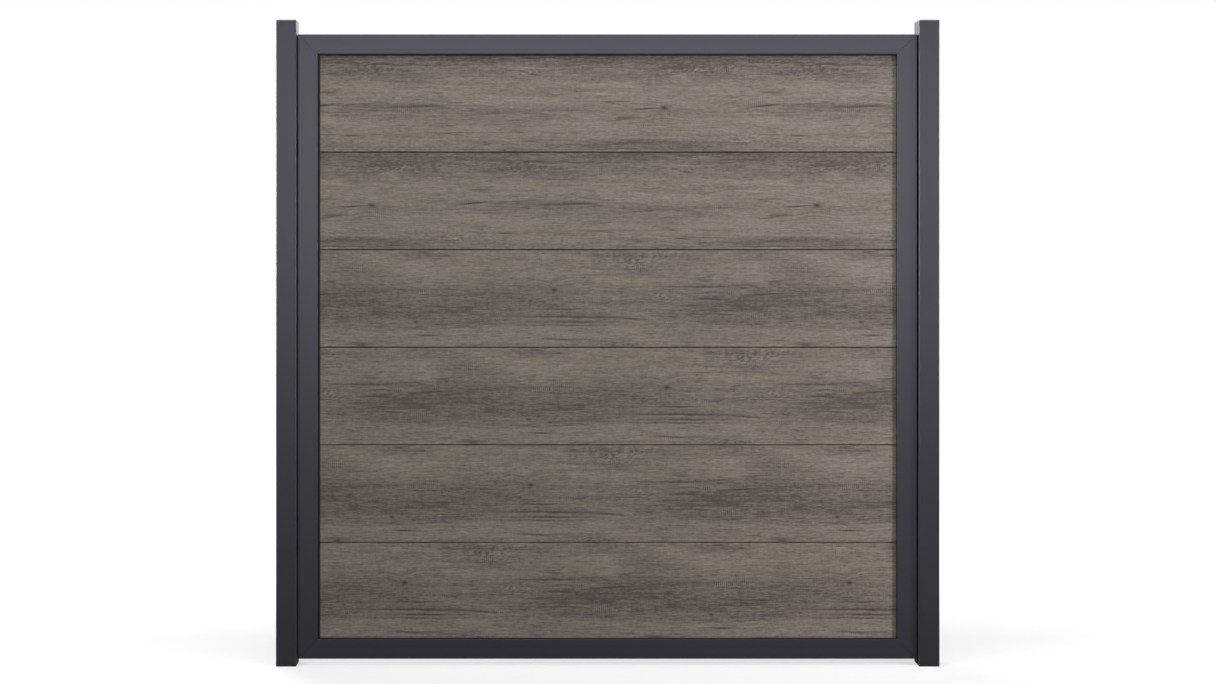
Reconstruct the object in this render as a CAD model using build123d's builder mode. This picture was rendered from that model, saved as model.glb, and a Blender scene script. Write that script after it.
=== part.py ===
from build123d import *
from math import radians, sqrt, tan
import os

# Fence panel between two posts, in millimetres.
# Hollow tongue-and-groove boards lie in the groove of a mitred frame, and angle
# brackets hold that frame between two square tubes. The front faces -Y, the ground
# is Z = 0, and the origin lies midway between the feet of the posts.

# Boards
board_count = 6
board_cover = 300.0  # height that one board adds to the stack
board_length = 1800.0
board_thickness = 20.0
board_skin = 2.0  # outer wall of the hollow section
board_web = 1.2  # wall between two chambers
shoulder_wall = 4.0  # above the top chamber and below the lowest one
board_chambers = 8
board_ease = 3.0  # chamfer along the edges, which makes the V joint
tongue_height = 10.0
tongue_thickness = 8.0
tongue_lead = 1.0  # chamfer at the tip of the tongue
tongue_clearance = 0.3  # beside the tongue and above its tip

# Frame
face_width = 60.0  # a frame member, seen from the front
lip_depth = 6.0  # front and back lips beside the groove
frame_wall = 2.0
frame_edge_radius = 1.5
mitre_ease = 0.5  # depth of the V along each mitre
groove_depth = 16.0
end_bite = 10.0  # how far the board ends stand in the stiles
bottom_bite = 5.0  # how far the lowest board stands in the bottom rail
top_gap = 2.0  # from the shoulder of the top board up to the top rail
drain_length = 30.0
drain_width = 5.0
drain_count = 2
drain_pitch = 600.0

# Gasket strips
gasket_width = 14.0
gasket_thickness = 2.0
gasket_nose_radius = 0.9
gasket_show_top = 4.5  # how far each strip stands out of its groove
gasket_show_bottom = 3.0
gasket_show_left = 7.0
gasket_show_right = 2.0

# Setting blocks under the lowest board
block_count = 3
block_length = 100.0
block_pitch = 600.0
block_side_clearance = 1.0

# Posts
post_size = 62.0
post_wall = 2.0
post_edge_radius = 3.0
post_gap = 4.0  # between a post and the frame
post_above_frame = 43.0
ground_gap = 20.0  # from the ground up to the frame
cap_thickness = 3.0
cap_edge_ease = 1.0
cap_plug_depth = 20.0
cap_plug_wall = 2.5
cap_clearance = 0.3

# Corner cleats
cleat_arm = 110.0  # from the outer corner of the frame to the tip of an arm
cleat_clearance = 0.5
cleat_rim = 4.0
cleat_web = 4.0
cleat_rib = 4.0

# Angle brackets
bracket_thickness = 3.0
bracket_height = 40.0
bracket_post_leg = 31.0
bracket_frame_leg = 36.0
bracket_bend_radius = 1.0  # inside the bend
bracket_tip_chamfer = 4.0
bracket_inset = 350.0  # from the ends of the stiles to the brackets

# Screws
screw_radius = 2.0
screw_length = 14.0
sunk_head_radius = 3.8
sunk_head_angle = 90.0
screw_hole_clearance = 0.25
thread_clearance = 0.05

# Sizes that follow
groove_width = board_thickness + 2 * gasket_thickness
frame_depth = groove_width + 2 * lip_depth
opening_width = board_length - 2 * end_bite
opening_height = board_count * board_cover - bottom_bite + top_gap
frame_width = opening_width + 2 * face_width
frame_height = opening_height + 2 * face_width
frame_bottom = ground_gap
frame_top = frame_bottom + frame_height
frame_middle = (frame_bottom + frame_top) / 2
groove_floor = face_width - groove_depth
chamber_width = groove_floor - 2 * frame_wall
mitre_length = sqrt(2) * face_width
stack_bottom = frame_bottom + face_width - bottom_bite
post_height = frame_top + post_above_frame
post_inner_x = frame_width / 2 + post_gap
post_bore = post_size - 2 * post_wall
sunk_head_depth = (sunk_head_radius - screw_radius) / tan(radians(sunk_head_angle / 2))
bracket_back = frame_depth / 2 + bracket_thickness
thread_radius = screw_radius + thread_clearance
screw_hole_radius = screw_radius + screw_hole_clearance

# Each side of the frame has a plane across its section: the origin is the middle of the
# outer edge, X points in to the boards, Y to the back and Z along the member.
sides = {
    "bottom": Plane((0, 0, frame_bottom), x_dir=(0, 0, 1), z_dir=(-1, 0, 0)),
    "left": Plane((-frame_width / 2, 0, frame_middle), x_dir=(1, 0, 0), z_dir=(0, 0, 1)),
    "top": Plane((0, 0, frame_top), x_dir=(0, 0, -1), z_dir=(1, 0, 0)),
    "right": Plane((frame_width / 2, 0, frame_middle), x_dir=(-1, 0, 0), z_dir=(0, 0, -1)),
}
member_names = {"bottom": "bottom_rail", "left": "left_stile", "top": "top_rail", "right": "right_stile"}
member_lengths = {"bottom": frame_width, "left": frame_height, "top": frame_width, "right": frame_height}
gasket_shows = {
    "bottom": gasket_show_bottom,
    "left": gasket_show_left,
    "top": gasket_show_top,
    "right": gasket_show_right,
}
face_signs = {"front": -1, "back": 1}
post_signs = {"left": -1, "right": 1}
corner_signs = {"bottom_left": (1, 1), "bottom_right": (-1, 1), "top_left": (1, -1), "top_right": (-1, -1)}
bracket_levels = {"lower": frame_bottom + bracket_inset, "upper": frame_top - bracket_inset}


# Places that pieces share


def post_plane(name, height):
    """Centre of a post at a height above the ground."""
    return Plane((post_signs[name] * (post_inner_x + post_size / 2), 0, height))


def corner_plane(name):
    """Outer corner of the frame: X along the rail and Y along the stile, both inwards."""
    across, up = corner_signs[name]
    corner = (-across * frame_width / 2, 0, frame_middle - up * frame_height / 2)
    return Plane(corner, x_dir=(across, 0, 0), z_dir=(0, -across * up, 0))


def post_screw_plane(name, level):
    """Head of the screw that holds a bracket to its post, facing the frame."""
    sign = post_signs[name]
    x = sign * (post_inner_x - bracket_thickness)
    y = (bracket_back - bracket_post_leg + frame_depth / 2) / 2
    return Plane((x, y, level), x_dir=(0, 0, 1), z_dir=(-sign, 0, 0))


def frame_screw_plane(name, level):
    """Head of the screw that holds a bracket to its stile, facing the back."""
    x = post_signs[name] * (post_inner_x - (bracket_thickness + bracket_frame_leg) / 2)
    return Plane((x, bracket_back, level), x_dir=(0, 0, 1), z_dir=(0, 1, 0))


# Boards


def make_board(level):
    """Closed chambers between two skins, with a groove below and a tongue above."""
    groove_height = tongue_height + tongue_clearance
    hollow_low = groove_height + shoulder_wall
    hollow_high = board_cover - shoulder_wall
    chamber_pitch = (hollow_high - hollow_low + board_web) / board_chambers
    with BuildPart() as board:
        with BuildSketch(Plane((0, 0, level), x_dir=(0, 1, 0), z_dir=(1, 0, 0))) as section:
            Rectangle(board_thickness, board_cover, align=(Align.CENTER, Align.MIN))
            chamfer(section.vertices(), board_ease)
            with Locations((0, board_cover)):
                Rectangle(tongue_thickness, tongue_height, align=(Align.CENTER, Align.MIN))
            chamfer(section.vertices().group_by(Axis.Y)[-1], tongue_lead)
            Rectangle(
                tongue_thickness + 2 * tongue_clearance,
                groove_height,
                align=(Align.CENTER, Align.MIN),
                mode=Mode.SUBTRACT,
            )
            with Locations((0, (hollow_low + hollow_high) / 2)):
                with GridLocations(0, chamber_pitch, 1, board_chambers):
                    Rectangle(
                        board_thickness - 2 * board_skin,
                        chamber_pitch - board_web,
                        mode=Mode.SUBTRACT,
                    )
        extrude(amount=board_length / 2, both=True)
    return board


def make_setting_blocks():
    """Blocks on the floor of the bottom groove, which carry the boards."""
    with BuildPart() as blocks:
        with BuildSketch(Plane((0, 0, frame_bottom + groove_floor))):
            with GridLocations(block_pitch, 0, block_count, 1):
                Rectangle(block_length, board_thickness - 2 * block_side_clearance)
        extrude(amount=groove_depth - bottom_bite)
    return blocks


# Frame


def make_member(name):
    """Hollow extrusion with a groove for the boards, mitred at both ends."""
    side = sides[name]
    length = member_lengths[name]
    lip_centre = (groove_width + lip_depth) / 2
    lip_tip = face_width - frame_wall
    with BuildPart() as member:
        # The chamber runs on into both lips.
        with BuildSketch(side):
            with Locations((face_width / 2, 0)):
                RectangleRounded(face_width, frame_depth, frame_edge_radius)
            with Locations((face_width, 0)):
                Rectangle(groove_depth, groove_width, align=(Align.MAX, Align.CENTER), mode=Mode.SUBTRACT)
            with Locations((frame_wall, 0)):
                Rectangle(
                    chamber_width,
                    frame_depth - 2 * frame_wall,
                    align=(Align.MIN, Align.CENTER),
                    mode=Mode.SUBTRACT,
                )
            with Locations((lip_tip, -lip_centre), (lip_tip, lip_centre)):
                Rectangle(
                    groove_depth,
                    lip_depth - 2 * frame_wall,
                    align=(Align.MAX, Align.CENTER),
                    mode=Mode.SUBTRACT,
                )
        extrude(amount=length / 2, both=True)
        # The ends are cut at 45 degrees.
        with BuildSketch(Plane(side.origin, x_dir=side.z_dir, z_dir=side.y_dir)):
            with BuildLine():
                Polyline(
                    (-length / 2, 0),
                    (length / 2, 0),
                    (length / 2 - face_width, face_width),
                    (-length / 2 + face_width, face_width),
                    close=True,
                )
            make_face()
        extrude(amount=frame_depth / 2, both=True, mode=Mode.INTERSECT)
        # Half of a shallow V runs along each cut, on the front and on the back.
        for end in (-1, 1):
            for face in face_signs.values():
                corner = side.from_local_coords((0, face * frame_depth / 2, end * length / 2))
                with BuildSketch(Plane(corner, x_dir=side.y_dir, z_dir=side.x_dir - end * side.z_dir)):
                    RegularPolygon(mitre_ease, 4)
                extrude(amount=mitre_length, mode=Mode.SUBTRACT)
        if name == "bottom":
            # Rain drains through the floor of the groove and the underside.
            with BuildSketch(Plane(side.origin, x_dir=side.z_dir, z_dir=side.x_dir)):
                with GridLocations(drain_pitch, 0, drain_count, 1):
                    SlotOverall(drain_length, drain_width)
            extrude(amount=groove_floor, mode=Mode.SUBTRACT)
        if name in post_signs:
            with Locations([frame_screw_plane(name, level) for level in bracket_levels.values()]):
                Hole(thread_radius, depth=bracket_thickness + 2 * frame_wall)
    return member


def make_gasket(name, face):
    """Flat strip between a lip and the boards, with its bare edge rounded."""
    side = sides[name]
    if name in post_signs:
        length = opening_height - gasket_show_top - gasket_show_bottom
        centre = (gasket_show_bottom - gasket_show_top) / 2
    else:
        length = board_length
        centre = 0
    nose = face_width + gasket_shows[name]
    depth = face * (board_thickness + gasket_thickness) / 2
    with BuildPart() as strip:
        with BuildSketch(Plane(side.origin + Vector(0, 0, centre), side.x_dir, side.z_dir)) as section:
            with Locations((nose, depth)):
                Rectangle(gasket_width, gasket_thickness, align=(Align.MAX, Align.CENTER))
            fillet(section.vertices().group_by(Axis.X)[-1], gasket_nose_radius)
        extrude(amount=length / 2, both=True)
    return strip


def make_cleat(name):
    """Ribbed corner piece, pressed into the chambers of two members."""
    corner = corner_plane(name)
    rib = (groove_floor + cleat_arm) / 2
    near = frame_wall
    far = frame_wall + chamber_width - cleat_clearance
    depth = frame_depth - 2 * frame_wall - 2 * cleat_clearance
    with BuildPart() as cleat:
        with BuildSketch(corner):
            with BuildLine():
                Polyline(
                    (near, near),
                    (cleat_arm, near),
                    (cleat_arm, far),
                    (far, far),
                    (far, cleat_arm),
                    (near, cleat_arm),
                    close=True,
                )
            make_face()
        extrude(amount=depth / 2, both=True)
        # Pockets from both faces leave a rim, a web and a rib across each arm.
        for face in (-1, 1):
            with BuildSketch(corner.offset(face * cleat_web / 2)):
                with BuildLine():
                    Polyline(
                        (near + cleat_rim, near + cleat_rim),
                        (cleat_arm - cleat_rim, near + cleat_rim),
                        (cleat_arm - cleat_rim, far - cleat_rim),
                        (far - cleat_rim, far - cleat_rim),
                        (far - cleat_rim, cleat_arm - cleat_rim),
                        (near + cleat_rim, cleat_arm - cleat_rim),
                        close=True,
                    )
                make_face()
                with Locations((rib, chamber_width / 2)):
                    Rectangle(cleat_rib, chamber_width, mode=Mode.SUBTRACT)
                with Locations((chamber_width / 2, rib)):
                    Rectangle(chamber_width, cleat_rib, mode=Mode.SUBTRACT)
            extrude(amount=face * depth / 2, mode=Mode.SUBTRACT)
    return cleat


# Posts


def make_post(name):
    """Square tube, open at the foot, with holes for the bracket screws."""
    with BuildPart() as post:
        with BuildSketch(post_plane(name, 0)):
            RectangleRounded(post_size, post_size, post_edge_radius)
            Rectangle(post_bore, post_bore, mode=Mode.SUBTRACT)
        extrude(amount=post_height - cap_thickness)
        with Locations([post_screw_plane(name, level) for level in bracket_levels.values()]):
            Hole(thread_radius, depth=bracket_thickness + 2 * post_wall)
    return post


def make_cap(name):
    """Flat lid with a hollow plug that goes into the post."""
    plug = post_bore - 2 * cap_clearance
    with BuildPart() as cap:
        with BuildSketch(post_plane(name, post_height - cap_thickness)):
            RectangleRounded(post_size, post_size, post_edge_radius)
        extrude(amount=cap_thickness)
        chamfer(cap.faces().sort_by(Axis.Z)[-1].edges(), cap_edge_ease)
        with BuildSketch(post_plane(name, post_height - cap_thickness)):
            Rectangle(plug, plug)
            Rectangle(plug - 2 * cap_plug_wall, plug - 2 * cap_plug_wall, mode=Mode.SUBTRACT)
        extrude(amount=-cap_plug_depth)
    return cap


# Brackets


def make_bracket(name, level):
    """Bent angle: one leg lies on the post, the other on the back of the frame."""
    sign = post_signs[name]
    outer_x = sign * post_inner_x
    inner_x = sign * (post_inner_x - bracket_thickness)
    tip_x = sign * (post_inner_x - bracket_frame_leg)
    tip_y = bracket_back - bracket_post_leg
    inner_y = bracket_back - bracket_thickness
    with BuildPart() as bracket:
        with BuildSketch(Plane((0, 0, level))) as section:
            with BuildLine():
                Polyline(
                    (outer_x, bracket_back),
                    (outer_x, tip_y),
                    (inner_x, tip_y),
                    (inner_x, inner_y),
                    (tip_x, inner_y),
                    (tip_x, bracket_back),
                    close=True,
                )
            make_face()
            outer_corner = section.vertices().sort_by_distance((outer_x, bracket_back))[0]
            fillet(outer_corner, bracket_bend_radius + bracket_thickness)
            inner_corner = section.vertices().sort_by_distance((inner_x, inner_y))[0]
            fillet(inner_corner, bracket_bend_radius)
        extrude(amount=bracket_height / 2, both=True)
        post_leg_tips = bracket.edges().filter_by(Axis.X).group_by(Axis.Y)[0]
        frame_leg_tips = bracket.edges().filter_by(Axis.Y).sort_by_distance((0, 0, level))[:2]
        chamfer(post_leg_tips + frame_leg_tips, bracket_tip_chamfer)
        with Locations(post_screw_plane(name, level), frame_screw_plane(name, level)):
            CounterSinkHole(
                screw_hole_radius,
                sunk_head_radius,
                depth=2 * bracket_thickness,
                counter_sink_angle=sunk_head_angle,
            )
    return bracket


# Screws


def make_screws(heads):
    """Countersunk screws with their heads flush with the planes."""
    with BuildPart() as screws:
        with Locations(heads):
            Cylinder(screw_radius, screw_length, align=(Align.CENTER, Align.CENTER, Align.MAX))
            Cone(
                screw_radius,
                sunk_head_radius,
                sunk_head_depth,
                align=(Align.CENTER, Align.CENTER, Align.MAX),
            )
    return screws


# Writing the pieces

pieces = {f"board_{row + 1}": make_board(stack_bottom + row * board_cover) for row in range(board_count)}
pieces["setting_blocks"] = make_setting_blocks()
for name in sides:
    pieces[member_names[name]] = make_member(name)
    for face_name, face in face_signs.items():
        pieces[f"{face_name}_gasket_{name}"] = make_gasket(name, face)
for name in corner_signs:
    pieces[f"corner_cleat_{name}"] = make_cleat(name)
for name in post_signs:
    pieces[f"{name}_post"] = make_post(name)
    pieces[f"{name}_post_cap"] = make_cap(name)
    for level_name, level in bracket_levels.items():
        pieces[f"{name}_bracket_{level_name}"] = make_bracket(name, level)
bracket_places = [(name, level) for name in post_signs for level in bracket_levels.values()]
pieces["bracket_post_screws"] = make_screws([post_screw_plane(*place) for place in bracket_places])
pieces["bracket_frame_screws"] = make_screws([frame_screw_plane(*place) for place in bracket_places])

os.makedirs("parts", exist_ok=True)
for label, piece in pieces.items():
    piece.part.label = label
    export_step(piece.part, f"parts/{label}.step")
    print(label, round(piece.part.volume), "mm3")
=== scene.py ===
# %% [markdown]
# # A fence panel with printed boards
#
# The panel is six wide plastic boards with a grey oak print, held in a mitred metal frame
# that hangs between two square posts. The solids already have their true shape and size, so
# this lesson is mostly about finish: how a flat film can look like oak, how a powder coat
# catches light on a rounded edge, and how to light a dark object on a white ground.
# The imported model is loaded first, because every piece below takes its place from it.

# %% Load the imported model
from collections import namedtuple
from math import pi, radians

import bpy
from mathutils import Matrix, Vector


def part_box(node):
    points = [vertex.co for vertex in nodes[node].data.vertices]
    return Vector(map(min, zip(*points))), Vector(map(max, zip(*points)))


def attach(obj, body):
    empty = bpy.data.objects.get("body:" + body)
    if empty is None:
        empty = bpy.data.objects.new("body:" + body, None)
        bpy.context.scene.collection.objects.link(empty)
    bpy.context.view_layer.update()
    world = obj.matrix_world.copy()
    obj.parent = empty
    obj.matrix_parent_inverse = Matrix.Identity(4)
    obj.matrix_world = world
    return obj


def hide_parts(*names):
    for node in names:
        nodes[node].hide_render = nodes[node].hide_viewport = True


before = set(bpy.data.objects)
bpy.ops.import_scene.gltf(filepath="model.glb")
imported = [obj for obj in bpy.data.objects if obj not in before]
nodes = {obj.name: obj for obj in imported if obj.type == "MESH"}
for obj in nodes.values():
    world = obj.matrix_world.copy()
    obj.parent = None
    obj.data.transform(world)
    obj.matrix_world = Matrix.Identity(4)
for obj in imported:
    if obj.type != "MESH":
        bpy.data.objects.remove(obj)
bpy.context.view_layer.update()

# %% [markdown]
# ## The camera
#
# The panel is seen square on, from a little left of its middle and from about two thirds of
# its height. A photographer who wants upright posts to stay parallel keeps the camera level
# and slides the lens sideways and down instead of tilting it. Blender's lens shift does the
# same, so the camera only needs a place, a focal length and two shifts.

# %% Camera
image_width, image_height = 1216, 684
focal_pixels = 1503
axis_pixel = (520.2, 243)  # where the level line of sight meets the picture
eye_place = (-0.268, -4.631, 1.2965)

eye = bpy.data.cameras.new("eye")
eye.sensor_width = 36
eye.lens = focal_pixels / image_width * eye.sensor_width
eye.shift_x = (image_width / 2 - axis_pixel[0]) / image_width
eye.shift_y = (axis_pixel[1] - image_height / 2) / image_width
camera = bpy.data.objects.new("camera", eye)
camera.location = eye_place
camera.rotation_euler = (radians(90), 0, 0)
bpy.context.scene.collection.objects.link(camera)
bpy.context.scene.camera = camera
bpy.context.scene.view_settings.view_transform = "Standard"
print("lens", round(eye.lens, 2), "mm, shift", round(eye.shift_x, 4), round(eye.shift_y, 4))

# %% [markdown]
# ## Sums with sockets
#
# Shader maths is easier to read as sums than as a web of nodes. The class below wraps one
# output socket. Adding or multiplying two of them makes a Math node, and the method `node`
# makes any other node. Everything that follows uses it, so it comes before the materials.


# %% A socket that can be used in sums
class Signal:
    """One output socket of a node tree, used like a number in Python sums."""

    def __init__(self, socket):
        self.socket = socket
        self.tree = socket.id_data

    def node(self, kind, settings, sockets, output=0):
        """Any node: its settings go in first, then a value or a link for each socket."""
        made = self.tree.nodes.new(kind)
        for name, value in settings.items():
            if name == "stops":
                set_stops(made.color_ramp, value)
            else:
                setattr(made, name, value)
        for key, value in sockets.items():
            if isinstance(value, Signal):
                self.tree.links.new(value.socket, made.inputs[key])
            else:
                made.inputs[key].default_value = value
        return Signal(made.outputs[output])

    def out(self, name):
        """Another output of the node that this socket belongs to."""
        return Signal(self.socket.node.outputs[name])

    def math(self, operation, *values):
        return self.node("ShaderNodeMath", {"operation": operation}, dict(enumerate(values)))

    def __add__(self, other):
        return self.math("ADD", self, other)

    def __radd__(self, other):
        return self.math("ADD", other, self)

    def __sub__(self, other):
        return self.math("SUBTRACT", self, other)

    def __rsub__(self, other):
        return self.math("SUBTRACT", other, self)

    def __mul__(self, other):
        return self.math("MULTIPLY", self, other)

    def __rmul__(self, other):
        return self.math("MULTIPLY", other, self)

    def __truediv__(self, other):
        return self.math("DIVIDE", self, other)

    def __abs__(self):
        return self.math("ABSOLUTE", self)

    def rise(self, low, high):
        """0 below low, 1 above high, and a smooth slope between them."""
        settings = {"interpolation_type": "SMOOTHSTEP"}
        return self.node("ShaderNodeMapRange", settings, {0: self, 1: low, 2: high})


def set_stops(ramp, stops):
    """Give a colour ramp its grey stops, each a place and a value."""
    ramp.interpolation = "EASE"
    while len(ramp.elements) < len(stops):
        ramp.elements.new(0.5)
    for element, (place, value) in zip(ramp.elements, stops):
        element.position = place
        element.color = (value, value, value, 1)


def add_all(signals):
    """The sum of a list of signals."""
    total = signals[0]
    for signal in signals[1:]:
        total = total + signal
    return total


print("a socket can be added, taken away, multiplied and divided")


# %% Helpers for patterns and colours
def noise(vector, scale, detail):
    """Soft noise around zero, from about -0.5 to 0.5."""
    sockets = {"Vector": vector, "Scale": scale, "Detail": detail}
    return vector.node("ShaderNodeTexNoise", {}, sockets) - 0.5


def blend(factor, first, second):
    """A colour between two colours."""
    return factor.node("ShaderNodeMix", {"data_type": "RGBA"}, {0: factor, 6: first, 7: second}, 2)


def linear(red, green, blue):
    """A colour picked on a screen, from 0 to 255, as the linear colour that shaders use."""
    shares = [channel / 255 for channel in (red, green, blue)]
    return tuple(s / 12.92 if s <= 0.04045 else ((s + 0.055) / 1.055) ** 2.4 for s in shares) + (1,)


black = linear(0, 0, 0)


def shaded(colour, shade):
    """A colour times a signal around 1, as a mix of black and twice the colour."""
    double = tuple(2 * channel for channel in colour[:3]) + (1,)
    return blend(shade * 0.5, black, double)


print("white is", linear(255, 255, 255))


# %% Helpers for materials
def start_material(name):
    """A new material, its shader node and the Object coordinates that its patterns read."""
    material = bpy.data.materials.new(name)
    material.use_nodes = True
    tree = material.node_tree
    shader = tree.nodes["Principled BSDF"]
    place = Signal(tree.nodes.new("ShaderNodeTexCoord").outputs["Object"])
    return material, shader, place


def feed(shader, **signals):
    """Link patterns to a shader's sockets, with an underscore for each space in a name."""
    for name, signal in signals.items():
        signal.tree.links.new(signal.socket, shader.inputs[name.replace("_", " ")])


def relief(height, depth):
    """A bump whose height runs from 0 to 1 over that depth in metres."""
    return height.node("ShaderNodeBump", {}, {"Strength": 1.0, "Distance": depth, "Height": height})


def coat(material, names):
    """Give a material to whole solids."""
    for name in names:
        nodes[name].data.materials.clear()
        nodes[name].data.materials.append(material)
    print(material.name, "on", names)


print("helpers are ready for", len(nodes), "solids")


# %% [markdown]
# ## Powder coat
#
# Posts, frame and brackets are sprayed with dry powder and baked. The powder melts into a satin skin with a
# very fine orange peel and small grains in it. It is nearly one colour, so the life comes from the light on
# its rounded edges. Two sizes of noise give the grain and the peel, a slow one keeps wide faces from looking
# like flat paint, and a bump carries the peel into the highlights. The posts get a copy of the coat with
# less gloss, so that they render a touch darker than the frame: painted shade for the way light falls on
# them. Little powder reaches the faces inside the narrow gap between post and frame, so a mask made from
# their places keeps them matt.

# %% Faces inside the gap
post_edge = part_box("left_post")[1].x
stile_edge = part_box("left_stile")[0].x
frame_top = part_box("top_rail")[1].z
gap_middle = (post_edge + stile_edge) / 2
half_gap = (stile_edge - post_edge) / 2
wall_skin = 0.00005  # the mask starts to fade this far behind a wall of the gap
edge_turn = 0.0004  # and has gone here, where the rounded edge turns to the front
top_fade = 0.004
open_share = 0.85  # above the frame the posts stand free, and most of the mask goes


def inside_gap(place):
    """1 on the faces inside the gaps beside the frame, and 0 on open faces."""
    split = place.node("ShaderNodeSeparateXYZ", {}, {0: place})
    from_middle = abs(abs(split) + gap_middle)
    inside = 1 - from_middle.rise(half_gap + wall_skin, half_gap + edge_turn)
    above = split.out("Z").rise(frame_top - top_fade, frame_top)
    return inside * (1 - open_share * above)


print("gap beside the frame", round(2000 * half_gap, 2), "mm")

# %% Powder coat
anthracite = linear(28, 27, 34)
coat_tint = (0.88, 0.86, 1.0, 1)  # what the coat mirrors turns a little blue
grain_scale, peel_scale, drift_scale = 900, 260, 2.5  # cells per metre
grain_tone, drift_tone = 0.35, 0.2
grain_rough, drift_rough, gap_rough = 0.12, 0.05, 0.6
grain_relief, peel_depth = 0.6, 0.00006


def make_powder_coat(name, roughness, gloss):
    material, shader, place = start_material(name)
    grain = noise(place, grain_scale, detail=2)
    peel = noise(place, peel_scale, detail=1)
    drift = noise(place, drift_scale, detail=3)
    rough = roughness + grain_rough * grain + drift_rough * drift + gap_rough * inside_gap(place)
    feed(shader, Base_Color=shaded(anthracite, 1 + grain_tone * grain + drift_tone * drift))
    feed(shader, Roughness=rough, Normal=relief(grain_relief * grain + peel + 0.5, peel_depth))
    shader.inputs["Specular IOR Level"].default_value = gloss
    shader.inputs["Specular Tint"].default_value = coat_tint
    return material


frame_names = ["bottom_rail", "left_stile", "top_rail", "right_stile"]
post_names = ["left_post", "right_post"]
bracket_names = [name for name in nodes if name.split("_")[1] == "bracket"]
coat(make_powder_coat("frame_coat", roughness=0.4, gloss=0.205), frame_names)
# The posts' copy has less gloss, so they render darker than the frame: painted shade.
coat(make_powder_coat("post_coat", roughness=0.4, gloss=0.175), post_names)
coat(make_powder_coat("bracket_coat", roughness=0.5, gloss=0.19), bracket_names)

# %% [markdown]
# ## The oak print
#
# The boards are hollow plastic with a printed film. A picture of oak would be the quick way,
# but it blurs up close and shows a seam where it repeats. The real print repeats too, since the
# roller that made it has a fixed girth, so here the pattern is drawn on a ring of that girth:
# the place along the board becomes an angle, and noise read on the ring meets itself after
# one turn. Heights are counted down from the top edge of a board.

# %% Sizes of the print
board_names = [f"board_{number}" for number in range(1, 7)]
board_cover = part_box("board_4")[0].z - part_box("board_3")[0].z
stack_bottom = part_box("board_1")[0].z
face_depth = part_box("board_1")[1].y
print_girth = 1.368
back_start = 0.37  # share of a turn from the print on the front to the one on the back
print("boards cover", round(board_cover, 4), "m, faces stand", round(face_depth, 4), "m from the middle")


# %% Coordinates on the print
def print_place(place, knot_x, board_top):
    """Metres along from the knot at knot_x, metres below the top edge, and the depth."""
    split = place.node("ShaderNodeSeparateXYZ", {}, {0: place})
    y, z = split.out("Y"), split.out("Z")
    back = y.rise(-face_depth / 2, face_depth / 2)
    along = split - knot_x + back * (print_girth * back_start - 2 * split)
    return along, board_top - z, y


def ring_vector(along, below, long_scale, high_scale, seed):
    """A point on the ring of the print roller, stretched along the board."""
    turn = along * (2 * pi / print_girth)
    reach = print_girth / (2 * pi) * long_scale
    first = turn.math("COSINE", turn) * reach + seed
    second = turn.math("SINE", turn) * reach
    return along.node("ShaderNodeCombineXYZ", {}, {0: first, 1: second, 2: below * high_scale})


def stroke(along, below, place, size, slope=0.0):
    """A soft spot, 1 in its middle, fading out at its half length and half height."""
    reach = along - place[0]
    reach = reach.math("WRAP", reach, print_girth / 2, -print_girth / 2)
    drop = (below - place[1] - slope * reach) / size[1]
    reach = reach / size[0]
    far = reach * reach + drop * drop
    return far.math("EXPONENT", far * -1.0)


print("one turn of the print roller is", print_girth, "m")

# %% [markdown]
# ## Layers of grain
#
# Oak shows its grain in many sizes at once: slow waves, long streaks, fibres, short dashes and
# the pores across them. Each is one noise that is stretched along the board by its own amount.
# A table holds them all, in cells per metre, so that a layer can be tried finer or coarser
# without touching the sums. Every layer adds its own step to the seed and stays itself.

# %% Layers of grain
Layer = namedtuple("Layer", "along across seed octaves")
layers = {
    "long wave": Layer(2.2, 6, 0, 2),
    "short wave": Layer(9, 26, 3, 2),
    "wander": Layer(2.6, 5, 7, 2),
    "cloud": Layer(5, 22, 11, 3),
    "streak": Layer(4, 110, 17, 3),
    "fibre": Layer(26, 280, 23, 2),
    "dash": Layer(75, 330, 29, 1),
    "weave": Layer(190, 45, 33, 1),
    "hair line": Layer(2.2, 42, 31, 1),
    "hair zone": Layer(6, 24, 37, 2),
    "saw zone": Layer(16, 34, 41, 1),
    "curl": Layer(95, 170, 47, 2),
}


def grain(name, along, height, seed):
    """One layer of noise on the ring, around zero."""
    layer = layers[name]
    vector = ring_vector(along, height, layer.along, layer.across, seed + layer.seed)
    return noise(vector, 1.0, layer.octaves)


print(len(layers), "layers of grain")

# %% [markdown]
# ## Marks on the film
#
# Knots push the grain aside, as a stone does in a stream. Cracks are long thin strokes with a
# lighter lip below them, and level lines of a slow noise add hair cracks. Where the tree grew
# crooked the fibres curl into small eddies, and the saw left upright ticks in groups. Each kind
# of mark has a short function that reads its places from a strip of film.

# %% Bent grain and knots
bends = {"long wave": 0.012, "short wave": 0.008}  # metres
push = 0.9
push_long, push_high = 6, 4  # reach of the push, in sizes of the knot
knot_long, knot_high = 1.6, 0.85


def bend_grain(along, below, strip):
    """The height below the top edge that the grain follows, bent by waves and knots."""
    flow = below
    for name, amount in bends.items():
        flow = flow + amount * grain(name, along, below, strip["seed"])
    for at, down, size, depth in strip["knots"]:
        near = stroke(along, below, (at, down), (push_long * size, push_high * size))
        flow = flow + push * depth * near * (below - down)
    return flow


def draw_knots(along, below, strip):
    return add_all([
        depth * stroke(along, below, (at, down), (knot_long * size, knot_high * size))
        for at, down, size, depth in strip["knots"]
    ])


print("the grain bends by up to", max(bends.values()) / 2, "m")

# %% Cracks
crack_height = 0.0026
lip_strength, lip_long = 0.3, 0.8
lip_drop, lip_height = 0.006, 0.0025
hair_strength, hair_width = 0.6, 0.035
hair_starts, hair_full = 0.04, 0.16


def draw_cracks(along, flow, strip):
    return add_all([
        depth * stroke(along, flow, (at, down), (length, crack_height), slope)
        for at, down, length, slope, depth in strip["cracks"]
    ])


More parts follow.
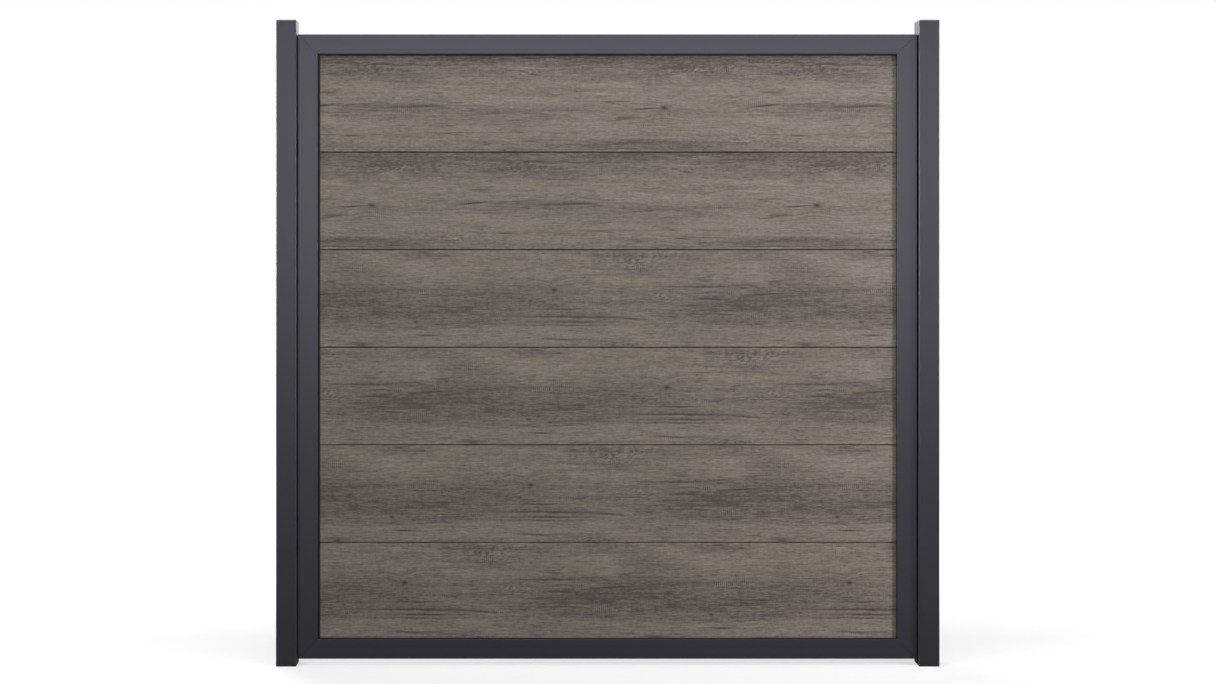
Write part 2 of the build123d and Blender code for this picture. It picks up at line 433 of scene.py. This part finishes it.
def draw_lips(along, flow, strip):
    return add_all([
        lip_strength * depth
        * stroke(along, flow, (at, down + lip_drop), (lip_long * length, lip_height), slope)
        for at, down, length, slope, depth in strip["cracks"]
    ])


def draw_hairs(along, flow, strip):
    line = 1 - abs(grain("hair line", along, flow, strip["seed"])).rise(0.0, hair_width)
    zone = grain("hair zone", along, flow, strip["seed"]).rise(hair_starts, hair_full)
    return hair_strength * (line * zone)


print("cracks are about", 2 * crack_height, "m high")

# %% Eddies and saw marks
curl_strength, curl_skew = 2.2, 0.6
saw_pitch, saw_strength = 0.0062, 0.5
saw_starts, saw_full = -0.2, 0.8  # on the wave from tick to tick
saw_group = (0.026, 0.012)
stray_starts, stray_full = 0.2, 0.28


def draw_eddies(along, below, flow, strip):
    curl = grain("curl", along + curl_skew * flow, flow, strip["seed"])
    zones = [
        stroke(along, below, (at, down), (length, height))
        for at, down, length, height in strip["eddies"]
    ]
    return curl_strength * curl * add_all(zones)


def draw_saw_marks(along, below, strip):
    ticks = along.math("SINE", along * (2 * pi / saw_pitch)).rise(saw_starts, saw_full)
    groups = [stroke(along, below, spot, saw_group) for spot in strip["saws"]]
    groups.append(grain("saw zone", along, below, strip["seed"]).rise(stray_starts, stray_full))
    return saw_strength * (ticks - 0.5) * add_all(groups)


print("saw ticks stand", saw_pitch, "m apart")

# %% [markdown]
# ## From tone to film
#
# The layers and marks first add up to one number, the tone, and only then become a colour: a mix of a light
# and a dark oak, with ink in the cracks and knots. Working on one number keeps all marks in the same two
# browns, as on a real print. The lower chamfer of each board, behind the face, gets a dark brown in place of
# the print: painted shade that deepens the joint between boards. The fibres also press a fine relief into
# the face.

# %% Tone
tone_strength = {"cloud": 0.45, "streak": 0.9, "fibre": 1.05, "dash": 0.9, "weave": 0.3}
unbent = ("cloud", "weave")
wander_share = 0.12


def film_bands(along, below, flow, strip):
    """Bands across the board and soft patches on them."""
    share = flow / board_cover + wander_share * grain("wander", along, below, strip["seed"])
    band = share.node("ShaderNodeValToRGB", {"stops": strip["bands"]}, {0: share})
    patches = [
        amount * stroke(along, flow, (at, down), (length, height))
        for at, down, length, height, amount in strip["patches"]
    ]
    return band + add_all(patches)


def film_grain(along, below, flow, strip):
    """The layers that give the tone, by name."""
    heights = {name: below if name in unbent else flow for name in tone_strength}
    return {name: grain(name, along, height, strip["seed"]) for name, height in heights.items()}


print("tone is made of", list(tone_strength))

# %% The oak print
light_oak = linear(142, 133, 122)
dark_oak = linear(80, 71, 69)
ink = linear(44, 37, 35)
# Painted shade: a dark brown for the lower chamfer of each board, behind the face, standing in for the shade
# in the joints.
chamfer_shade_colour = linear(46, 38, 35)
chamfer_shade_from, chamfer_shade_to = 0.0006, 0.0002  # behind the face
chamfer_shade_below = (0.1, 0.2)  # the painted shade goes on the lower chamfer, not on the top edge
film_rough, film_gloss = 0.58, 0.1
fibre_rough, streak_rough = 0.2, 0.1
fibre_relief, streak_relief, crack_relief = 0.7, 0.5, 0.8
relief_depth = 0.00012


def make_oak_print(name, knot_x, board_top, strip):
    material, shader, place = start_material(name)
    along, below, y = print_place(place, knot_x, board_top)
    flow = bend_grain(along, below, strip)

    tone = film_bands(along, below, flow, strip)
    found = film_grain(along, below, flow, strip)
    for layer, strength in tone_strength.items():
        tone = tone + strength * found[layer]
    tone = tone + draw_lips(along, flow, strip)
    tone = tone + draw_eddies(along, below, flow, strip)
    tone = tone + draw_saw_marks(along, below, strip)

    crack = draw_cracks(along, flow, strip) + draw_hairs(along, flow, strip)
    marks = crack.math("MAXIMUM", crack, draw_knots(along, below, strip))
    # painted shade on the lower chamfer behind the face, which deepens each joint
    chamfer_shade = (1 - abs(y).rise(face_depth - chamfer_shade_from, face_depth - chamfer_shade_to)) * below.rise(*chamfer_shade_below)
    printed = blend(tone, dark_oak, light_oak)
    printed = blend(marks, printed, ink)
    printed = blend(chamfer_shade, printed, chamfer_shade_colour)

    fibre, streak = found["fibre"], found["streak"]
    height = 0.5 + fibre_relief * fibre + streak_relief * streak - crack_relief * crack
    rough = film_rough + fibre_rough * fibre + streak_rough * streak
    feed(shader, Base_Color=printed, Roughness=rough, Normal=relief(height, relief_depth))
    shader.inputs["Specular IOR Level"].default_value = film_gloss
    return material


print("relief of the film", relief_depth, "m")

# %% [markdown]
# ## Two strips of film
#
# The six boards are cut from two strips. The upper two boards show a paler strip with a soft
# dark zone near its top edge. The other four show a strip with a dark belt along the middle.
# Each board starts at another place of its strip, so the same knot comes back shifted. Places
# on a strip are counted in metres along from its knot and down from the top edge. A band is a
# share of the board's height and a tone. A knot has a place, a size and a depth, an eddy a
# place and its reach, a patch also an amount, and a crack a place, a half length, a slope and
# a depth.

# %% The pale strip
pale_strip = {
    "seed": 40,
    "bands": [
        (0.0, 0.22), (0.14, 0.42), (0.34, 0.64), (0.46, 0.65), (0.56, 0.50), (0.76, 0.65), (1.0, 0.42),
    ],
    "knots": [(0.0, 0.163, 0.007, 1.0), (1.07, 0.030, 0.004, 0.6)],
    "eddies": [
        (0.10, 0.045, 0.12, 0.018),
        (0.46, 0.045, 0.09, 0.016),
        (-0.42, 0.05, 0.04, 0.02),
        (0.27, 0.262, 0.09, 0.016),
    ],
    "patches": [
        (0.10, 0.045, 0.24, 0.030, -0.26),
        (0.45, 0.050, 0.13, 0.030, -0.20),
        (-0.03, 0.275, 0.18, 0.012, -0.30),
        (0.06, 0.062, 0.03, 0.010, 0.35),
        (0.62, 0.165, 0.14, 0.012, -0.20),
    ],
    "cracks": [
        (-0.055, 0.166, 0.045, -0.04, 1.0),
        (0.006, 0.173, 0.006, 0.0, 0.7),
        (0.31, 0.158, 0.05, -0.12, 1.0),
        (0.62, 0.160, 0.10, -0.03, 0.75),
        (0.41, 0.250, 0.03, 0.0, 0.9),
        (0.83, 0.180, 0.06, -0.05, 0.6),
        (-0.12, 0.290, 0.12, 0.0, 0.6),
    ],
    "saws": [(0.02, 0.19), (0.57, 0.17), (-0.32, 0.17), (0.28, 0.15)],
}
print("pale strip with", len(pale_strip["cracks"]), "cracks")

# %% The belted strip
belt_strip = {
    "seed": 90,
    "bands": [
        (0.0, 0.44), (0.12, 0.55), (0.30, 0.55), (0.44, 0.35),
        (0.58, 0.31), (0.72, 0.38), (0.86, 0.62), (1.0, 0.57),
    ],
    "knots": [
        (0.0, 0.123, 0.006, 1.0),
        (-0.426, 0.221, 0.005, 0.7),
        (0.342, 0.020, 0.003, 0.8),
        (0.195, 0.038, 0.003, 0.6),
    ],
    "eddies": [
        (0.25, 0.035, 0.09, 0.018),
        (0.33, 0.010, 0.06, 0.010),
        (0.20, 0.288, 0.06, 0.008),
        (0.34, 0.142, 0.05, 0.012),
    ],
    "patches": [
        (-0.40, 0.190, 0.24, 0.040, -0.16),
        (-0.56, 0.140, 0.10, 0.025, -0.12),
        (0.60, 0.150, 0.16, 0.040, -0.15),
        (0.22, 0.150, 0.16, 0.050, 0.14),
        (-0.38, 0.050, 0.18, 0.040, 0.12),
        (-0.62, 0.060, 0.09, 0.040, -0.14),
        (0.22, 0.045, 0.10, 0.030, -0.16),
        (0.20, 0.285, 0.06, 0.012, -0.30),
    ],
    "cracks": [
        (0.65, 0.135, 0.05, -0.05, 1.0),
        (0.46, 0.112, 0.05, 0.0, 0.6),
        (0.05, 0.207, 0.16, 0.01, 0.75),
        (0.22, 0.214, 0.06, 0.05, 0.7),
        (0.06, 0.222, 0.12, 0.0, 0.5),
        (0.02, 0.233, 0.12, 0.0, 0.5),
        (-0.39, 0.262, 0.035, 0.0, 0.9),
        (0.02, 0.277, 0.05, 0.04, 0.7),
        (0.47, 0.150, 0.04, 0.0, 0.7),
    ],
    "saws": [(-0.60, 0.06), (-0.32, 0.12), (0.61, 0.205), (0.26, 0.055)],
}
print("belted strip with", len(belt_strip["cracks"]), "cracks")

# %% Film on each board
film = {
    "board_6": (0.175, pale_strip),
    "board_5": (-0.724, pale_strip),
    "board_4": (-0.163, belt_strip),
    "board_3": (0.183, belt_strip),
    "board_2": (-0.236, belt_strip),
    "board_1": (-0.624, belt_strip),
}
for number, name in enumerate(board_names, start=1):
    knot_x, strip = film[name]
    board_top = stack_bottom + number * board_cover
    coat(make_oak_print(f"oak_print_{number}", knot_x, board_top, strip), [name])

# %% [markdown]
# ## Rubber, plastic and bare metal
#
# The gasket is black rubber with a dull bloom. Caps and setting blocks are moulded plastic with a fine
# spark-eroded texture, the corner cleats are raw castings and the screws are plain steel. The caps are a
# light grey, which is partly their plastic and partly a painted highlight on their front faces. Each could
# have a material of its own, but all are one colour with a fine grain, so one function makes them with
# another colour, grain and gloss.

# %% Rubber, plastic and castings
slow_share = 40  # the slow noise is this many times coarser than the grain
slow_rough = 0.2


def make_dull(name, colour, roughness, scale, depth, variation, gloss=0.2):
    """One colour with a grain of that scale in cells per metre and that depth in metres."""
    material, shader, place = start_material(name)
    fine = noise(place, scale, detail=3)
    slow = noise(place, scale / slow_share, detail=2)
    feed(shader, Base_Color=shaded(colour, 1 + 2 * variation * (fine + slow)))
    feed(shader, Roughness=roughness + slow_rough * slow, Normal=relief(fine + 0.5, depth))
    shader.inputs["Specular IOR Level"].default_value = gloss
    return material


gasket_names = [name for name in nodes if "gasket" in name]
cleat_names = [name for name in nodes if "cleat" in name]
cap_names = ["left_post_cap", "right_post_cap"]
rubber = make_dull(
    "gasket_rubber", linear(24, 24, 26), roughness=0.65, scale=1500, depth=0.00002, variation=0.3, gloss=0.08
)
# The caps' light grey is partly their plastic and partly a painted highlight on their front faces.
cap_plastic = make_dull(
    "cap_plastic", linear(92, 90, 98), roughness=0.5, scale=1100, depth=0.00003, variation=0.2
)
block_plastic = make_dull(
    "block_plastic", linear(40, 40, 40), roughness=0.55, scale=800, depth=0.00003, variation=0.2
)
casting = make_dull(
    "cleat_casting", linear(160, 160, 160), roughness=0.5, scale=500, depth=0.0001, variation=0.3
)
coat(rubber, gasket_names)
coat(cap_plastic, cap_names)
coat(block_plastic, ["setting_blocks"])
coat(casting, cleat_names)

# %% [markdown]
# ## Bracket screws
#
# Eight small countersunk screws with a star drive hold the brackets, four in the posts and
# four in the back of the frame. They are all alike, so one screw is built in a Geometry Nodes
# tree and set on points: the head is a cone, the drive is a star curve that is filled, pushed
# down and cut out of the head. Nobody lines screws up by hand, so each gets a random turn.

# %% Sizes of a screw
screw_sizes = {
    "Head Radius": 0.0038,
    "Head Depth": 0.0018,
    "Shank Radius": 0.0020,
    "Length": 0.0140,
    "Drive Radius": 0.0021,
    "Drive Depth": 0.0012,
    "Seed": 4,
}
head_sides, shank_sides = 48, 32
drive_lobes, drive_waist = 6, 0.72
weld_distance = 0.000001
print("screw head", 2000 * screw_sizes["Head Radius"], "mm wide")


# %% Parts of a screw
def join(*shapes):
    """One geometry of several."""
    joined = shapes[0].node("GeometryNodeJoinGeometry", {}, {})
    for shape in shapes:
        shape.tree.links.new(shape.socket, joined.socket.node.inputs[0])
    return joined


def move_up(shape, distance):
    """A geometry moved along Z by a signal."""
    offset = shape.node("ShaderNodeCombineXYZ", {}, {"Z": distance})
    return shape.node("GeometryNodeTransform", {}, {"Geometry": shape, "Translation": offset})


def screw_head(given, size):
    """A cone with its wide end up, level with the origin."""
    cone = given.node("GeometryNodeMeshCone", {}, {
        "Vertices": head_sides,
        "Radius Top": size("Shank Radius"),
        "Radius Bottom": size("Head Radius"),
        "Depth": size("Head Depth"),
    }, "Mesh")
    return given.node("GeometryNodeTransform", {}, {"Geometry": cone, "Rotation": (pi, 0, 0)})


def star_plug(given, size):
    """A closed star that reaches as far above the head as it cuts into it."""
    star = given.node("GeometryNodeCurveStar", {}, {
        "Points": drive_lobes,
        "Inner Radius": size("Drive Radius") * drive_waist,
        "Outer Radius": size("Drive Radius"),
    }, "Curve")
    sheet = given.node("GeometryNodeFillCurve", {}, {"Curve": star})
    rise = {"Mesh": sheet, "Offset Scale": size("Drive Depth") * 2, "Individual": False}
    walls = given.node("GeometryNodeExtrudeMesh", {}, rise, "Mesh")
    lid = given.node("GeometryNodeFlipFaces", {}, {"Mesh": sheet})
    weld = {"Geometry": join(walls, lid), "Distance": weld_distance}
    plug = given.node("GeometryNodeMergeByDistance", {}, weld)
    return move_up(plug, size("Drive Depth") * -1)


def screw_shank(given, size):
    """A plain rod from the head down."""
    tail = size("Length") - size("Head Depth")
    rod = {"Vertices": shank_sides, "Radius": size("Shank Radius"), "Depth": tail}
    shank = given.node("GeometryNodeMeshCylinder", {}, rod, "Mesh")
    return move_up(shank, size("Head Depth") * -1 - tail * 0.5)


def screw_turn(given, size):
    """The rotation of each screw: along the facing of its point, with a random turn."""
    facing = given.node("GeometryNodeInputNamedAttribute", {"data_type": "FLOAT_VECTOR"}, {"Name": "facing"})
    aim = given.node("FunctionNodeAlignRotationToVector", {"axis": "Z"}, {"Vector": facing})
    angle = given.node("FunctionNodeRandomValue", {}, {"Max": 2 * pi, "Seed": size("Seed")}, "Value")
    spin = given.node("FunctionNodeAxisAngleToRotation", {}, {"Axis": (0, 0, 1), "Angle": angle})
    turns = {"Rotation": aim, "Rotate By": spin}
    return given.node("FunctionNodeRotateRotation", {"rotation_space": "LOCAL"}, turns)


print("a head has", head_sides, "sides and its drive", drive_lobes, "lobes")


# %% A tree of nodes for screws
def screw_tree(material):
    """Points with a facing in, screws out. Every size is a named input of the tree."""
    tree = bpy.data.node_groups.new("screws", "GeometryNodeTree")
    tree.interface.new_socket("Points", in_out="INPUT", socket_type="NodeSocketGeometry")
    for label, value in screw_sizes.items():
        kind = "NodeSocketInt" if isinstance(value, int) else "NodeSocketFloat"
        tree.interface.new_socket(label, in_out="INPUT", socket_type=kind)
    tree.interface.new_socket("Screws", in_out="OUTPUT", socket_type="NodeSocketGeometry")
    given = Signal(tree.nodes.new("NodeGroupInput").outputs["Points"])
    size = given.out

    cut = {"Mesh 1": screw_head(given, size), "Mesh 2": star_plug(given, size)}
    head = given.node("GeometryNodeMeshBoolean", {"operation": "DIFFERENCE"}, cut)
    screw = join(head, screw_shank(given, size))
    placed = {"Points": given, "Instance": screw, "Rotation": screw_turn(given, size)}
    copies = given.node("GeometryNodeInstanceOnPoints", {}, placed)
    solid = given.node("GeometryNodeRealizeInstances", {}, {"Geometry": copies})
    steel = given.node("GeometryNodeSetMaterial", {}, {"Geometry": solid, "Material": material})
    tree.links.new(steel.socket, tree.nodes.new("NodeGroupOutput").inputs["Screws"])
    return tree


screw_steel = make_dull(
    "screw_steel", linear(150, 150, 152), roughness=0.3, scale=900, depth=0.00002, variation=0.2
)
screw_nodes = screw_tree(screw_steel)
print("screw tree has", len(screw_nodes.nodes), "nodes")


# %% Places of the screws
def screw_places(node, head):
    """The four heads of a screw node: head gives the place of one from its side, -1 or 1."""
    low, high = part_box(node)
    levels = (low.z + screw_sizes["Head Radius"], high.z - screw_sizes["Head Radius"])
    return [(side, (*head(side, low, high), level)) for side in (-1, 1) for level in levels]


def post_head(side, low, high):
    return side * (high.x - screw_sizes["Length"]), (low.y + high.y) / 2


def frame_head(side, low, high):
    return side * (high.x - screw_sizes["Head Radius"]), high.y


post_heads = screw_places("bracket_post_screws", post_head)
frame_heads = screw_places("bracket_frame_screws", frame_head)
print("first heads at", post_heads[0], frame_heads[0])


# %% Set the screws
def set_screws(name, node, heads, facing):
    """Points with the facing of each head, turned into screws and then into a plain mesh."""
    mesh = bpy.data.meshes.new(name)
    mesh.from_pydata([place for side, place in heads], [], [])
    directions = mesh.attributes.new("facing", "FLOAT_VECTOR", "POINT")
    for direction, (side, place) in zip(directions.data, heads):
        direction.vector = facing(side)
    piece = bpy.data.objects.new(name, mesh)
    bpy.context.scene.collection.objects.link(piece)
    modifier = piece.modifiers.new("screws", "NODES")
    modifier.node_group = screw_nodes
    for item in screw_nodes.interface.items_tree:
        if item.name in screw_sizes:
            modifier[item.identifier] = screw_sizes[item.name]
    evaluated = piece.evaluated_get(bpy.context.evaluated_depsgraph_get())
    plain = bpy.data.meshes.new_from_object(evaluated)
    piece.modifiers.clear()
    piece.data = plain
    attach(piece, "root")
    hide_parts(node)
    print(name, len(heads), "screws,", len(plain.polygons), "faces")


set_screws("post_screws", "bracket_post_screws", post_heads, lambda side: (-side, 0, 0))
set_screws("frame_screws", "bracket_frame_screws", frame_heads, lambda side: (0, 1, 0))

# %% [markdown]
# ## Floor, background and light
#
# The ground is white. A floor that is only painted white turns grey where the lamps are weak,
# so for rays that come straight from the camera it also glows. Close to the panel it glows
# less: there the lamps still bring it to white, and where the panel is in their way its soft
# shadow stays. The world is white for those rays too, while the light that it sheds on the
# object stays at a plain level.

# %% Floor
floor_size = 60
half = floor_size / 2
corners = [(-half, -half, 0), (half, -half, 0), (half, half, 0), (-half, half, 0)]
floor_mesh = bpy.data.meshes.new("floor")
floor_mesh.from_pydata(corners, [], [(0, 1, 2, 3)])
floor = bpy.data.objects.new("floor", floor_mesh)
bpy.context.scene.collection.objects.link(floor)
print("floor", floor_size, "m wide")

# %% Floor paint
near_glow = 0.56
far_from, far_to = 1.5, 3.0  # metres from the middle of the panel
aside_from, aside_to = 0.2, 1.4  # metres in front of the panel or behind it
floor_grey = (0.4, 0.4, 0.4, 1)
white = linear(255, 255, 255)


def seen_directly(tree):
    """1 for rays from the camera, also by way of a mirror or a pane, and 0 for light."""
    path = Signal(tree.nodes.new("ShaderNodeLightPath").outputs["Is Camera Ray"])
    seen = path.math("MAXIMUM", path, path.out("Is Glossy Ray"))
    return seen.math("MAXIMUM", seen, path.out("Is Transmission Ray"))


floor_paint = bpy.data.materials.new("floor_paint")
floor_paint.use_nodes = True
tree = floor_paint.node_tree
tree.nodes.remove(tree.nodes["Principled BSDF"])
seen = seen_directly(tree)
spot = Signal(tree.nodes.new("ShaderNodeTexCoord").outputs["Object"])
far = spot.node("ShaderNodeVectorMath", {"operation": "LENGTH"}, {0: spot}, "Value").rise(far_from, far_to)
aside = abs(spot.node("ShaderNodeSeparateXYZ", {}, {0: spot}).out("Y")).rise(aside_from, aside_to)
glow_level = seen * (near_glow + (1 - near_glow) * far.math("MAXIMUM", far, aside))
paint = seen.node("ShaderNodeBsdfDiffuse", {}, {"Color": floor_grey})
glow = seen.node("ShaderNodeEmission", {}, {"Color": blend(glow_level, black, white), "Strength": 1.0})
both = seen.node("ShaderNodeAddShader", {}, {0: paint, 1: glow})
tree.links.new(both.socket, tree.nodes["Material Output"].inputs["Surface"])
floor_mesh.materials.append(floor_paint)
print("the floor glows from", near_glow, "to 1")

# %% World
ambient = 0.12
world = bpy.data.worlds.new("studio")
world.use_nodes = True
bpy.context.scene.world = world
tree = world.node_tree
level = ambient + (1 - ambient) * seen_directly(tree)
tree.nodes["Background"].inputs["Color"].default_value = white
tree.links.new(level.socket, tree.nodes["Background"].inputs["Strength"])
print("ambient light", ambient)

# %% [markdown]
# ## Softboxes
#
# A wide box behind the camera lies where the flat faces of the frame mirror it, and the lower
# part of the frame looks past it, which is why the coat gets darker towards the ground. A box
# overhead draws the soft shadow under the top rail. One box on each side puts the thin shadows
# beside the stiles, and one behind keeps the back readable. Six boxes only show as mirror
# images in the coat: the one behind the camera, two walls and two narrow strips at the sides
# that draw bright lines on the rounded edges, and one behind for the sides of the posts. The
# strips stand almost in the plane of the panel, so that its faces hardly catch them.


# %% Lamps
def add_softbox(name, place, aim, size, power, mirrored_only=False):
    """A soft lamp at a place, turned to its aim, with its width and height and its watts."""
    lamp = bpy.data.lights.new(name, "AREA")
    lamp.shape = "RECTANGLE"
    lamp.size, lamp.size_y = size
    lamp.energy = power
    box = bpy.data.objects.new(name, lamp)
    box.location = place
    box.rotation_euler = (Vector(aim) - Vector(place)).to_track_quat("-Z", "Y").to_euler()
    box.visible_camera = False
    box.visible_diffuse = not mirrored_only
    bpy.context.scene.collection.objects.link(box)


middle = (0, 0, 1.0)
upper_middle = (0.2, 0, 1.4)
left_edge, right_edge = (-0.95, 0, 1.2), (0.95, 0, 1.2)
wall_size = (2.0, 2.4)
strip_size = (0.3, 1.4)
add_softbox("overhead", (0, -0.9, 4.2), middle, (3.2, 1.0), 90)
add_softbox("right", (3.9, -1.55, 1.15), middle, (0.7, 1.5), 145)
add_softbox("left", (-3.3, -1.6, 2.5), middle, (1.8, 0.9), 34)
add_softbox("back", (-3.2, 3.6, 2.8), middle, (3.0, 2.0), 230)
add_softbox("back_wall", (0.9, 5.0, 3.2), middle, (5.0, 1.6), 120, mirrored_only=True)
add_softbox("front", (0.15, -5.2, 2.0), upper_middle, (6.6, 2.0), 430, mirrored_only=True)
add_softbox("right_wall", (3.6, -2.4, 1.6), middle, wall_size, 70, mirrored_only=True)
add_softbox("left_wall", (-3.9, -1.7, 1.6), middle, wall_size, 28, mirrored_only=True)
add_softbox("left_strip", (-4.0, -0.2, 1.6), right_edge, strip_size, 900, mirrored_only=True)
add_softbox("right_strip", (4.0, -0.2, 1.6), left_edge, strip_size, 300, mirrored_only=True)
print("lamps", [light.name for light in bpy.data.lights])
